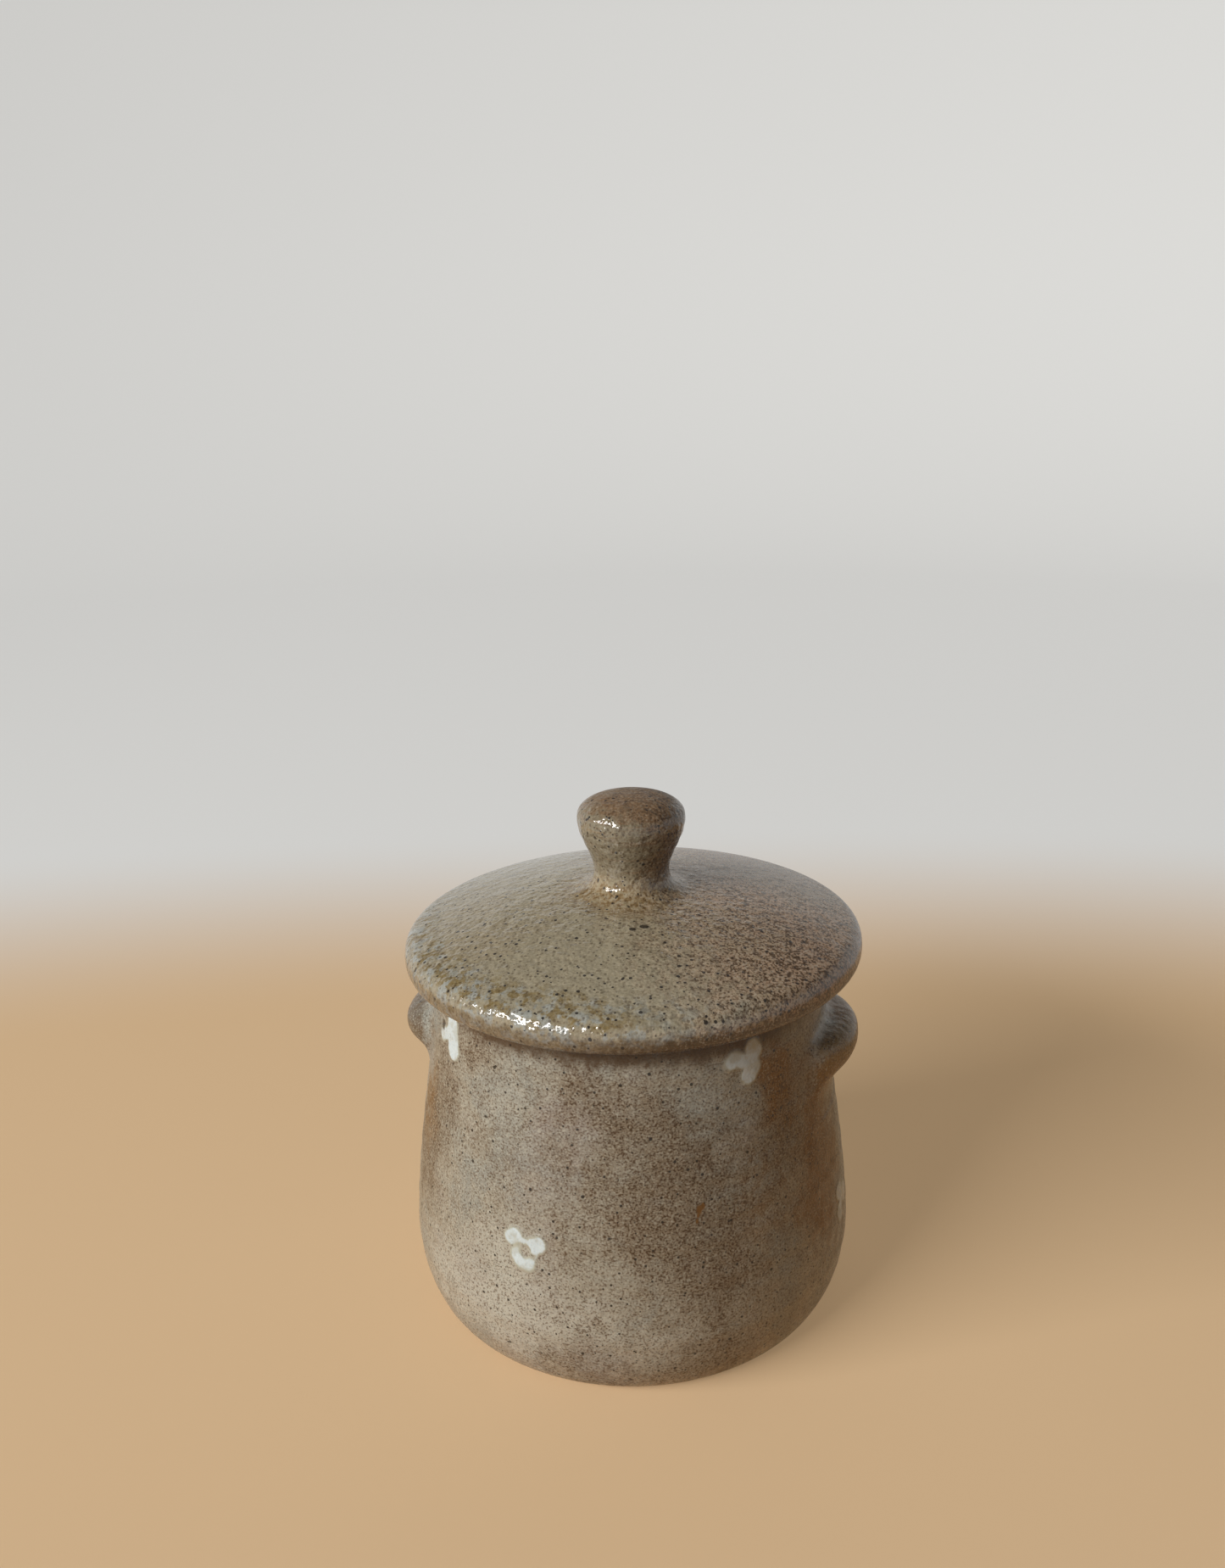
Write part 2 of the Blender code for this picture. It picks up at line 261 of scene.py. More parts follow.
flowers = dict(
    shapes=dict(       # each dab is a run of brush points with the brush's half width; hole is left bare
        ring=dict(
            dabs=[([(-3.5, 1.8), (-2.7, 2.4)], 2.3), ([(2.1, 1.2), (3.0, 1.8)], 2.35),
                  ([(-1.8, -1.6), (-1.0, -2.8), (0.7, -3.1)], 2.3), ([(-2.2, 2.1), (1.2, 1.6)], 1.2),
                  ([(3.0, -0.2), (2.3, -2.0), (1.2, -3.2)], 0.55), ([(-1.9, 1.2), (-2.1, -0.6)], 0.35)],
            hole=(0.05, -0.4, 0.85)),
        trefoil=dict(
            dabs=[([(-2.9, 0.9), (-2.1, 1.5)], 2.15), ([(2.6, 3.0), (3.1, 2.0)], 2.35),
                  ([(2.3, -1.4), (1.3, -2.9)], 2.55), ([(-1.4, 1.1), (0.9, 0.2), (2.2, 1.4)], 2.1)],
            hole=None),
        stroke=dict(
            dabs=[([(-4.7, -1.2), (-4.5, -0.7)], 1.9), ([(0.5, 3.4), (0.9, 1.0)], 3.0),
                  ([(0.9, 1.0), (1.3, -2.2)], 3.0), ([(-4.5, -0.8), (0.3, 1.2)], 1.9)],
            hole=None),
    ),
    spots=[            # turn from the front, height, shape, roll
        ("flower_front_low", -19.2, 34.5, "ring", 0),
        ("flower_right_high", 38.5, 74.3, "trefoil", 0),
        ("flower_left_high", -51.6, 72.9, "stroke", 0),
        ("flower_right_low", 77.5, 26.5, "trefoil", 70),
        ("flower_back_right_high", 124.0, 71.0, "ring", 150),
        ("flower_back_right_low", 157.0, 31.0, "trefoil", -40),
        ("flower_back_left_high", -161.0, 72.0, "stroke", 12),
        ("flower_back_left_low", -118.0, 35.0, "ring", -75),
    ],
    proud=0.18,        # how far the slip stands out of the wall
    sunk=0.35,         # and how far it reaches in
    reach=8.0,         # half width of the square of wall that a flower is cut from
    cell=0.2,          # size of the square's cells
    margin=0.45,       # thin edge that is kept round the dabs
    tucked=0.1,        # how far that edge dips under the wall
    melted=0.12,       # how much two dabs run together
    softEdge=1.1,
    unevenness=0.08,
)


def distanceToRun(across, up, run):
    # distance from each grid point to a bent line
    nearest = np.full(across.shape, 1e9)
    for (fromAcross, fromUp), (toAcross, toUp) in zip(run[:-1], run[1:]):
        stepAcross, stepUp = toAcross - fromAcross, toUp - fromUp
        along = (across - fromAcross) * stepAcross + (up - fromUp) * stepUp
        along = np.clip(along / (stepAcross ** 2 + stepUp ** 2), 0, 1)
        away = np.hypot(across - fromAcross - along * stepAcross, up - fromUp - along * stepUp)
        nearest = np.minimum(nearest, away)
    return nearest


def slipDepth(shape, roll, turn, across, up):
    # how far inside the dabs each grid point lies, below zero outside them
    spin = math.radians(roll)
    turnedAcross = across * math.cos(spin) + up * math.sin(spin)
    turnedUp = up * math.cos(spin) - across * math.sin(spin)
    depth = np.full(across.shape, -9.0)
    for run, half in flowers["shapes"][shape]["dabs"]:
        inside = half - distanceToRun(turnedAcross, turnedUp, run)
        depth = np.maximum(depth, inside) + flowers["melted"] * np.exp(-np.abs(depth - inside) * 2.5)
    waves = np.sin(1.9 * across + turn) * np.cos(2.3 * up - turn) + np.sin(4.1 * up + 2 * across + turn) * 0.5
    depth = depth + flowers["unevenness"] * 0.5 * waves
    if flowers["shapes"][shape]["hole"]:
        holeAcross, holeUp, holeHalf = flowers["shapes"][shape]["hole"]
        fromHole = np.hypot(turnedAcross - holeAcross, (turnedUp - holeUp) * 0.85) - holeHalf
        depth = np.minimum(depth, 1.1 * fromHole)
    return depth


def buildFlower(name, turn, height, shape, roll, material):
    reach = flowers["reach"]
    count = int(2 * reach / flowers["cell"]) + 1
    line = np.linspace(-reach, reach, count)
    across, up = np.meshgrid(line, line)
    depth = slipDepth(shape, roll, turn, across, up)
    slip = smoothStep(-0.15, flowers["softEdge"], depth)
    rise = np.sqrt(np.clip(slip, 0, 1)) * (1 + 0.05 * np.sin(1.7 * across - 0.9 * up + turn))
    angles = math.radians(turn - 90) + across / float(wallRadius(height))
    skin = jarSkin(angles, height + up)
    outward = np.stack((np.cos(angles), np.sin(angles), 0.06 * np.ones(angles.shape)), -1)
    outside = skin + outward * (flowers["proud"] * rise - flowers["tucked"] * (slip <= 0))[..., None]
    inside = skin - outward * flowers["sunk"]

    # the grid's cells that are kept, as a front, a back and the edge between them
    kept = depth > -flowers["margin"]
    used = kept[:-1, :-1] & kept[1:, :-1] & kept[:-1, 1:] & kept[1:, 1:]
    number = np.full(across.shape, -1)
    corners = np.zeros(across.shape, bool)
    for rowShift in (0, 1):
        for columnShift in (0, 1):
            corners[rowShift:count - 1 + rowShift, columnShift:count - 1 + columnShift] |= used
    number[corners] = np.arange(corners.sum())
    total = int(corners.sum())
    faces = []
    edges = {}
    for row, column in zip(*np.nonzero(used)):
        ring = [int(corner) for corner in (number[row, column], number[row, column + 1],
                                           number[row + 1, column + 1], number[row + 1, column])]
        faces.append(tuple(ring))
        faces.append(tuple(total + corner for corner in reversed(ring)))
        for first, second in zip(ring, ring[1:] + ring[:1]):
            edges[(first, second)] = True
    for first, second in edges:
        if (second, first) not in edges:
            faces.append((second, first, total + first, total + second))
    points = np.vstack((outside[corners], inside[corners]))
    piece = meshPiece(name, points, faces, material)
    amount = piece.data.attributes.new("slip", "FLOAT", "POINT")
    amount.data.foreach_set("value", np.concatenate((slip[corners], slip[corners])).astype(np.float32))
    return piece


# the lid

lid = dict(
    seat=83.0,
    radius=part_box("lid")[1].x / mm,
    domeHeight=15.9,
    domeDrop=9.0,
    domePower=2.1,
    edgeTop=4.2,
    edgeLow=3.0,
    wall=5.5,
    hollowCorner=6.0,
    around=320,
    shift=(1.1, -0.3),  # the dome sits a little off its flange
    tilt=0.96,          # degrees that the dome leans, as fired
    tiltTowards=175,    # the side that sank
    wobble=0.12,
    leanGrows=(13, 42),      # radii between which the dome starts to lean, so the knob stands straight
    seatEnds=(45.8, 49.5),   # radii between which the level underside turns into the leaning edge
)
knob = dict(
    foot=98.7,
    height=22.5,
    radius=12.3,
    neck=8.6,
    neckAt=4.7,
    widestAt=17.2,
    spread=13.2,
    flare=1.9,
    crown=0.85,
    throwing=0.05,
)
flange = dict(
    outside=38.8,
    inside=34.6,
    depth=8.8,
    taper=0.7,
    edge=1.3,
    rooted=1.6,
    fillet=1.2,
    throwing=0.06,
)


def domeHeight(radius):
    outward = np.asarray(radius, float) / lid["radius"]
    return lid["seat"] + lid["domeHeight"] - lid["domeDrop"] * outward ** lid["domePower"]


def lidOutline():
    # the knob, from its crown down to its neck
    widestHeight, neckHeight = knob["foot"] + knob["widestAt"], knob["foot"] + knob["neckAt"]
    turn = np.linspace(math.pi / 2, 0, 40)
    rise = (knob["height"] - knob["widestAt"]) * np.sin(turn) ** knob["crown"]
    crown = np.column_stack((knob["radius"] * np.cos(turn) ** knob["crown"], widestHeight + rise))
    crown[0, 0] = 0
    along = np.linspace(1, 0, 40)[1:]
    swell = (knob["radius"] - knob["neck"]) * np.sin(math.pi / 2 * along) ** knob["flare"]
    flare = np.column_stack((knob["neck"] + swell, neckHeight + (knob["widestAt"] - knob["neckAt"]) * along))

    # the fillet that spreads onto the dome
    meet, nearly = knob["spread"] + 1.6, knob["spread"] - 0.4
    fillet = curve([(knob["neck"], neckHeight), (knob["neck"] + 0.35, knob["foot"] + 2.7),
                    (knob["neck"] + 1.6, knob["foot"] + 1.15), (nearly, float(domeHeight(nearly)) + 0.22),
                    (meet, float(domeHeight(meet)))], 40)[1:]

    # the dome, and the edge that rolls under it
    edgeCentre = lid["radius"] - lid["edgeTop"]
    fall = math.degrees(math.atan(-float(domeHeight(edgeCentre + 0.5) - domeHeight(edgeCentre)) / 0.5))
    shoulder = edgeCentre + lid["edgeTop"] * math.sin(math.radians(fall))
    edgeHeight = float(domeHeight(shoulder)) - lid["edgeTop"] * math.cos(math.radians(fall))
    radii = np.linspace(meet, shoulder, 160)[1:]
    dome = np.column_stack((radii, domeHeight(radii)))
    top = respace(np.vstack((crown, flare, fillet, dome)), 0.4)
    lowCentre = (lid["radius"] - lid["edgeLow"], lid["seat"] + lid["edgeLow"])
    edge = np.vstack((quarterRound((edgeCentre, edgeHeight), (lid["edgeTop"],) * 2, 90 - fall, 0),
                      quarterRound(lowCentre, (lid["edgeLow"],) * 2, 0, -90)))
    edge = respace(edge, 0.4)[1:]

    # the flat underside and the hollow
    hollowTop = float(domeHeight(flange["inside"])) - lid["wall"]
    hollowEdge = flange["inside"] - lid["hollowCorner"]
    hollowSpan = (lid["hollowCorner"], hollowTop - lid["seat"])
    inner = np.linspace(hollowEdge, 0, 30)
    under = respace(np.vstack((quarterRound((hollowEdge, lid["seat"]), hollowSpan, 0, 75),
                               np.column_stack((inner, domeHeight(inner) - lid["wall"])))), 0.7)
    land = respace([edge[-1], under[0]], 0.8)[1:-1]
    return np.vstack((top, edge)), np.vstack((land, under))


def asFired(radius, height, angles, share):
    # a ring of the lid, leaned, waved and shifted by its share
    lean = math.tan(math.radians(lid["tilt"]))
    drop = lean * np.asarray(radius) * np.cos(angles - math.radians(lid["tiltTowards"]))
    wave = lid["wobble"] * (np.cos(3 * angles + 1.2) + 0.6 * np.cos(2 * angles - 0.5))
    warp = share * float(smoothStep(*lid["leanGrows"], np.mean(radius)))
    return np.column_stack((radius * np.cos(angles) + share * lid["shift"][0],
                            radius * np.sin(angles) + share * lid["shift"][1],
                            height + (wave - drop) * warp))


def buildLid(material):
    upper, lower = lidOutline()
    angles = np.arange(lid["around"]) * math.tau / lid["around"]
    rows = []
    for radius, height in upper[1:]:
        above = height - knob["foot"]
        rings = math.sin(above / 0.42) * math.exp(-((above - 12) / 4.5) ** 2) if above > 0 else 0
        thrown = radius + knob["throwing"] * rings * (1 + 0.4 * np.cos(angles))
        rows.append(asFired(thrown, height, angles, 1))
    for radius, height in lower[:-1]:
        share = float(smoothStep(*lid["seatEnds"], radius))
        rows.append(asFired(radius + 0 * angles, height, angles, share))
    top = (lid["shift"][0], lid["shift"][1], upper[0, 1])
    points = np.vstack(([top], *rows, [[0, 0, lower[-1, 1]]]))
    piece = meshPiece("lid_skin", points, turnedFaces(len(rows) + 2, lid["around"]), material)
    print("lid:", len(points), "points")
    return piece


def buildFlange(material):
    # the ring under the lid that drops into the jar's neck
    seat, outer, inner, edge = lid["seat"], flange["outside"], flange["inside"], flange["edge"]
    foot, top = seat - flange["depth"], seat + flange["rooted"]
    wide = outer + flange["fillet"]
    outline = np.vstack((
        [(wide, top), (wide, seat + 0.2)],
        curve([(wide, seat), (outer + 0.35, seat - 0.3), (outer, seat - 1.4)], 8),
        quarterRound((outer - flange["taper"] - edge, foot + edge), (edge, edge), 0, -90),
        quarterRound((inner + flange["taper"] + edge, foot + edge), (edge, edge), -90, -180),
        [(inner, seat - 1.4), (inner - 0.3, seat - 0.3), (inner - 0.3, top)]))
    outline = respace(np.vstack((outline, outline[:1])), 0.6)[:-1]
    around, count = lid["around"], len(outline)
    angles = np.arange(around) * math.tau / around
    points, faces = [], []
    for ring, (radius, height) in enumerate(outline):
        slack = flange["throwing"] * np.sin(height / 0.8 + np.cos(angles))
        points.append(levelRing(radius + slack, height, angles))
        low, high = ring * around, (ring + 1) % count * around
        for step in range(around):
            onward = (step + 1) % around
            faces.append((low + step, high + step, high + onward, low + onward))
    print("flange:", count * around, "points")
    return meshPiece("lid_flange_ring", np.vstack(points), faces, material)


# the photograph's view

view = dict(
    lens=38.616,          # mm on a sensor 36 mm wide, for a picture 1445 x 1849
    sensor=36.0,
    lookDown=16.94,
    roll=1.0,
    turn=8.0,             # how far the right lug is turned towards the camera
    sideways=-3.01,
    away=282.8,
    height=209.5,
)


def setCamera():
    down, roll = math.radians(view["lookDown"]), math.radians(view["roll"])
    ahead = Vector((0, math.cos(down), -math.sin(down)))
    up = Vector((0, math.sin(down), math.cos(down)))
    right = Vector((1, 0, 0))
    rolledRight = math.cos(roll) * right - math.sin(roll) * up
    rolledUp = math.sin(roll) * right + math.cos(roll) * up
    place = Matrix((rolledRight, rolledUp, -ahead)).transposed().to_4x4()
    place.translation = Vector((view["sideways"], -view["away"], view["height"])) * mm
    data = bpy.data.cameras.new("photo_view")
    data.sensor_fit = "HORIZONTAL"
    data.sensor_width = view["sensor"]
    data.lens = view["lens"]
    data.clip_start = 0.01
    camera = bpy.data.objects.new("photo_view", data)
    camera.matrix_world = Matrix.Rotation(math.radians(view["turn"]), 4, "Z") @ place
    bpy.context.scene.collection.objects.link(camera)
    bpy.context.scene.camera = camera


# finishes: a small way to write node trees

class Wire:
    # a socket in sums: every sum adds its Math node
    def __init__(self, finish, socket):
        self.finish = finish
        self.socket = socket

    def maths(self, operation, first, second):
        return self.finish.add("ShaderNodeMath", dict(operation=operation), {0: first, 1: second})

    def __add__(self, other):
        return self.maths("ADD", self, other)

    def __radd__(self, other):
        return self.maths("ADD", other, self)

    def __sub__(self, other):
        return self.maths("SUBTRACT", self, other)

    def __rsub__(self, other):
        return self.maths("SUBTRACT", other, self)

    def __mul__(self, other):
        return self.maths("MULTIPLY", self, other)

    def __rmul__(self, other):
        return self.maths("MULTIPLY", other, self)


class Finish:
    # the node tree of a material, a lamp or the world, worked in millimetres of the piece's own place
    def __init__(self, owner):
        self.owner = owner
        owner.use_nodes = True
        self.tree = owner.node_tree
        self.tree.nodes.clear()
        self.place = self.vector("SCALE", self.add("ShaderNodeTexCoord", {}, {}, "Object"), scale=1000)

    def add(self, kind, settings, values, out=0):
        node = self.tree.nodes.new(kind)
        for key, value in settings.items():
            setattr(node, key, value)
        for key, value in values.items():
            socket = node.inputs[key]
            if isinstance(value, Wire):
                self.tree.links.new(value.socket, socket)
            elif hasattr(socket.default_value, "__len__") and len(socket.default_value) == 4:
                socket.default_value = (*value, 1)
            else:
                socket.default_value = value
        return Wire(self, node.outputs[out])

    def vector(self, operation, first, second=None, third=None, scale=None):
        values = {0: first}
        if second is not None:
            values[1] = second
        if third is not None:
            values[2] = third
        if scale is not None:
            values["Scale"] = scale
        out = "Value" if operation in ("LENGTH", "DOT_PRODUCT") else "Vector"
        return self.add("ShaderNodeVectorMath", dict(operation=operation), values, out)

    def mix(self, share, first, second):
        return self.add("ShaderNodeMix", dict(data_type="RGBA"), {0: share, 6: first, 7: second}, 2)

    def ramp(self, value, low, high, start=0.0, end=1.0):
        # start where value is low, end where it is high, and a soft step between them
        values = {0: value, 1: low, 2: high, 3: start, 4: end}
        return self.add("ShaderNodeMapRange", dict(interpolation_type="SMOOTHSTEP"), values)

    def noise(self, place, size, seed, detail=2.0, roughness=0.5, out=0):
        # cloudy noise whose features are about size millimetres across
        size = size if isinstance(size, tuple) else (size, size, size)
        shift = (seed * 3.7, seed * 1.9 + 5, -seed * 2.3)
        spread = self.vector("MULTIPLY_ADD", place, tuple(1 / side for side in size), shift)
        values = {"Vector": spread, "Scale": 1.0, "Detail": detail, "Roughness": roughness}
        return self.add("ShaderNodeTexNoise", dict(noise_dimensions="3D"), values, out)

    def ragged(self, value, noise, amount, low=0.3, high=0.7):
        # a value pushed up and down by a noise, so that the mask made of it has no smooth edge
        return value + self.ramp(noise, low, high, -amount, amount)

    def specks(self, place, cell, small, large, seed):
        # dots scattered through the glaze, between small and large millimetres in half width
        spread = self.vector("MULTIPLY_ADD", place, (1 / cell,) * 3, (seed * 2.9, -seed * 1.3, seed * 4.1))
        dots = dict(feature="F1", voronoi_dimensions="3D")
        values = {"Vector": spread, "Scale": 1.0, "Randomness": 1.0}
        away = self.add("ShaderNodeTexVoronoi", dots, values, "Distance")
        chance = self.add("ShaderNodeTexVoronoi", dots, values, "Color")
        size = self.add("ShaderNodeSeparateColor", {}, {0: chance}, 0)
        radius = self.ramp(size, 0.0, 1.0, small / cell, large / cell)
        return self.ramp(away - radius, 0.05 / cell, -0.07 / cell)

    def patch(self, place, centre, size):
        # 1 in the middle of a soft patch, 0 at its size
        away = self.vector("SUBTRACT", place, centre)
        away = self.vector("MULTIPLY", away, tuple(1 / side for side in size))
        return self.ramp(self.vector("LENGTH", away), 1.0, 0.15)

    def axis(self, place, side):
        return self.add("ShaderNodeSeparateXYZ", {}, {0: place}, side)

    def seenDirectly(self):
        # 1 for what the camera sees, straight, by reflection or through glass; 0 for scattered light
        camera, mirrored, through = [self.add("ShaderNodeLightPath", {}, {}, ray)
                                     for ray in ("Is Camera Ray", "Is Glossy Ray", "Is Transmission Ray")]
        return self.add("ShaderNodeClamp", {}, {0: camera + mirrored + through})

    def end(self, kind, shader):
        self.tree.links.new(shader.socket, self.tree.nodes.new(kind).inputs[0])

    def shader(self, settings):
        self.end("ShaderNodeOutputMaterial", self.add("ShaderNodeBsdfPrincipled", {}, settings))
        return self.owner


def onWall(turn, height):
    # where a turn and a height lie on the jar's wall
    radius = float(wallRadius(height))
    return (radius * math.sin(math.radians(turn)), -radius * math.cos(math.radians(turn)), height)


bodyFinish = dict(
    greige=(0.43, 0.39, 0.30),
    grey=(0.37, 0.36, 0.30),
    pale=(0.62, 0.595, 0.49),
    pink=(0.37, 0.315, 0.27),
    toast=(0.24, 0.177, 0.11),
    lug=(0.155, 0.10, 0.05),
    # honey glaze colour of the right lug, brightened as painted warm bounce light from below
    honeyAndPaintedBounce=(0.46, 0.30, 0.12),
    amber=(0.28, 0.128, 0.022),
    lightGrain=(0.62, 0.585, 0.46),
    grain=(0.135, 0.08, 0.04),
    # painted shade under the lid, and also the dark grain colour in toasted glaze
    darkGrainAndPaintedShade=(0.08, 0.042, 0.018),
    thinSlip=(0.56, 0.56, 0.44),
    slip=(0.80, 0.90, 0.90),
    speck=(0.11, 0.065, 0.035),
    iron=(0.018, 0.013, 0.009),
    rust=(0.20, 0.095, 0.025),
    paleShare=0.8,     # how much of what lies under it a colour covers at its fullest
    pinkShare=0.75,
    toastShare=0.82,
    lugShare=0.8,
    honeyAndPaintedBounceShare=0.75,
    amberShare=0.92,
    slipShare=0.96,
    ironShare=0.9,
    cloudSize=(17, 17, 28),
    mottleSize=(2.8, 2.8, 3.4),
    tintSize=(14, 14, 20),
    grainSize=(0.5, 0.5, 0.42),
    sandSize=(1.3, 1.3, 1.0),
    drift=(20, 20, 26),          # how far the patches wander from round
    roughness=0.26,              # where the glaze is cleanest
    mottleRoughness=0.14,        # what the layers add to that
    toastRoughness=0.12,
    slipGloss=0.08,
    bump=0.9,
    ior=1.46,
    toastPatches=[     # turn, height, across, up, strength
        (-52, 60, 14, 24, 0.9), (-66, 40, 14, 28, 1.05), (8, 70, 19, 16, 0.5), (15, 48, 19, 30, 0.95),
        (-8, 76, 18, 8, 0.3), (0, 5, 34, 9, 0.4), (0, 18, 20, 8, 0.25), (33, 44, 18, 26, 0.2),
        (57, 66, 14, 26, 0.5), (61, 40, 16, 26, 0.3), (27, 9, 20, 8, 0.5), (29, 26, 18, 14, 0.5),
        (0, 44, 12, 12, 0.4), (-44, 78, 14, 9, 0.5), (120, 50, 18, 28, 0.6), (172, 60, 16, 24, 0.6),
        (-140, 55, 17, 28, 0.6), (-100, 22, 18, 14, 0.5), (150, 12, 20, 9, 0.45)],
    amberPatches=[
        (-66, 52, 11, 26, 0.7), (51, 68, 10, 16, 1.0), (43, 44, 13, 24, 0.4), (66, 42, 16, 34, 1.2),
        (92, 64, 20, 14, 0.9), (120, 44, 20, 30, 0.5), (-98, 64, 20, 15, 0.7), (-150, 60, 18, 24, 0.5),
        (172, 30, 20, 20, 0.4)],
    palePatches=[
        (-25, 62, 14, 18, 0.45), (-32, 20, 34, 20, 1.0), (-8, 19, 28, 13, 0.8), (24, 17, 22, 8, 0.3),
        (32, 62, 13, 18, 0.3), (-20, 34, 15, 12, 0.35), (62, 18, 20, 14, 0.5), (102, 28, 24, 22, 0.45),
        (146, 40, 16, 22, 0.4), (-165, 38, 18, 26, 0.5), (-118, 62, 14, 20, 0.4)],
    pinkPatches=[
        (-14, 52, 17, 20, 0.55), (-6, 66, 16, 14, 0.7), (36, 62, 12, 14, 0.4), (0, 8, 20, 9, 0.6),
        (-24, 8, 14, 8, 0.4), (135, 66, 18, 18, 0.5), (-150, 24, 22, 20, 0.4), (-80, 62, 14, 18, 0.5)],
    ironSpots=[        # turn, height, half width
        (-33.6, 60.5, 0.6), (46.0, 8.0, 0.5), (1.9, 40.0, 0.5), (-31.0, 25.4, 0.4), (-18.7, 26.4, 0.4),
        (-4.8, 36.3, 0.3), (-57.3, 74.6, 1.3), (-57.2, 73.6, 1.1)],
    rustSpots=[
        (23.9, 45.0, 1.0), (24.9, 45.7, 0.7), (23.5, 43.7, 0.45), (23.2, 42.6, 0.5), (142.0, 52.0, 0.8)],
)


def summed(parts):
    # the sum of parts that are wired up one after another
    total = next(parts)
    for part in parts:
        total = total + part
    return total


def wallPatches(finish, place, patches):
    return summed(finish.patch(place, onWall(turn, height), (across, across, up)) * strength
                  for turn, height, across, up, strength in patches)


def bodyGlaze():
    look = bodyFinish
    finish = Finish(bpy.data.materials.new("body_glaze"))
    place = finish.place
    height = finish.axis(place, "Z")
    drift = finish.noise(place, 11, 3, detail=3, roughness=0.5, out=1)
    drift = finish.vector("SUBTRACT", drift, (0.5, 0.5, 0.5))
    drifted = finish.vector("MULTIPLY_ADD", drift, look["drift"], place)
    clouds = finish.noise(place, look["cloudSize"], 1, detail=5, roughness=0.6)
    mottle = finish.noise(place, look["mottleSize"], 2, detail=3, roughness=0.65)
    tint = finish.noise(drifted, look["tintSize"], 7, detail=3)
    grain = finish.noise(place, look["grainSize"], 5, detail=1.5, roughness=0.6)
    sand = finish.noise(place, look["sandSize"], 9, detail=3, roughness=0.65)

    # where the glaze went toasted, pale and pinkish
    toast = wallPatches(finish, drifted, look["toastPatches"])
    toast = toast + finish.ramp(clouds, 0.46, 0.66, 0, 0.55) * finish.ramp(height, 4, 26, 0.35, 1.0)
    toast = finish.ramp(finish.ragged(toast, mottle, 0.15, 0.32, 0.68), 0.0, 1.15)
    pale = wallPatches(finish, drifted, look["palePatches"]) + finish.ramp(clouds, 0.46, 0.32, 0, 0.35)
    pale = finish.ramp(finish.ragged(pale, mottle, -0.12, 0.32, 0.68), 0.0, 1.15)
    pink = wallPatches(finish, drifted, look["pinkPatches"]) + finish.ramp(tint, 0.48, 0.68, 0, 0.45)
    colour = finish.mix(finish.ramp(tint, 0.54, 0.36), look["greige"], look["grey"])
    colour = finish.mix(pale * look["paleShare"], colour, look["pale"])
    colour = finish.mix(finish.ramp(pink, 0.0, 1.1, 0, look["pinkShare"]), colour, look["pink"])
    colour = finish.mix(toast * look["toastShare"], colour, look["toast"])

    # the lugs are darker than the wall; the right one has honey glaze with painted warm bounce light, which
    # brightens it
    out = finish.vector("LENGTH", finish.vector("MULTIPLY", place, (1, 1, 0)))
    onLug = finish.ramp(finish.ragged(out, mottle, 0.6), 47.3, 49.6) * finish.ramp(height, 50, 56)
    colour = finish.mix(onLug * look["lugShare"], colour, look["lug"])
    # painted warm bounce light: the right lug's honey colour is brightened to stand in for light thrown up
    # from below
    paintedBounceOnRight = finish.ramp(finish.axis(place, "X"), 30, 45, 0, look["honeyAndPaintedBounceShare"])
    colour = finish.mix(onLug * paintedBounceOnRight, colour, look["honeyAndPaintedBounce"])
    amber = wallPatches(finish, drifted, look["amberPatches"])
    amber = finish.ramp(finish.ragged(amber, mottle, 0.15, 0.32, 0.68), 0.0, 1.1)
    colour = finish.mix(amber * look["amberShare"], colour, look["amber"])

    # light and dark grain, stronger where the glaze is toasted, and painted shade on the glaze under the lid,
    # where the lid's overhang shades it
    lightGrain = finish.ramp(grain, 0.47, 0.3) * (0.6 - 0.15 * toast)
    colour = finish.mix(lightGrain, colour, look["lightGrain"])
    dark = finish.ramp(grain, 0.51, 0.65) * (0.62 + 0.36 * toast)
    dark = dark + finish.ramp(sand, 0.54, 0.67) * (0.14 + 0.42 * toast)
    colour = finish.mix(dark, colour, finish.mix(toast, look["grain"], look["darkGrainAndPaintedShade"]))
    # painted shade: the top of the wall under the lid's rim is darkened as if by the lid's shadow
    paintedShadeUnderLid = finish.ramp(finish.ragged(height, mottle, 0.8), 75.0, 79.0)
    paintedShadeUnderLid = paintedShadeUnderLid * finish.ramp(clouds, 0.3, 0.6, 0.7, 0.95)
    colour = finish.mix(paintedShadeUnderLid, colour, look["darkGrainAndPaintedShade"])

    # the slip, thin and yellowish at its edges
    slip = finish.add("ShaderNodeAttribute", dict(attribute_name="slip"), {}, "Fac")
    thick = finish.ramp(finish.ragged(slip, mottle, 0.2, 0.35, 0.65), 0.5, 1.1)
    white = finish.mix(thick, look["thinSlip"], look["slip"])
    covered = finish.ramp(finish.ragged(slip, sand, 0.08), 0.0, 0.8)
    colour = finish.mix(covered * look["slipShare"], colour, white)

    # specks, which the slip mostly hides, and the single spots
    seen = 1 - 0.85 * covered
    dust = finish.specks(place, 0.9, 0.02, 0.26, 1)
    colour = finish.mix(dust * seen * (0.65 + 0.3 * toast), colour, look["speck"])
    iron = finish.specks(place, 1.7, 0.02, 0.31, 4) + finish.specks(place, 2.8, 0.12, 0.4, 6)
    iron = finish.ramp(iron, 0.0, 1.0) * seen
    for turn, level, half in look["ironSpots"]:
        iron = iron + finish.patch(place, onWall(turn, level), (half * 1.3, half * 1.3, half))
    colour = finish.mix(finish.ramp(iron, 0.0, 1.0) * look["ironShare"], colour, look["iron"])
    rust = summed(finish.patch(place, onWall(turn, level), (half, half, half * 1.7))
                  for turn, level, half in look["rustSpots"])
    colour = finish.mix(finish.ramp(rust, 0.0, 0.8), colour, look["rust"])

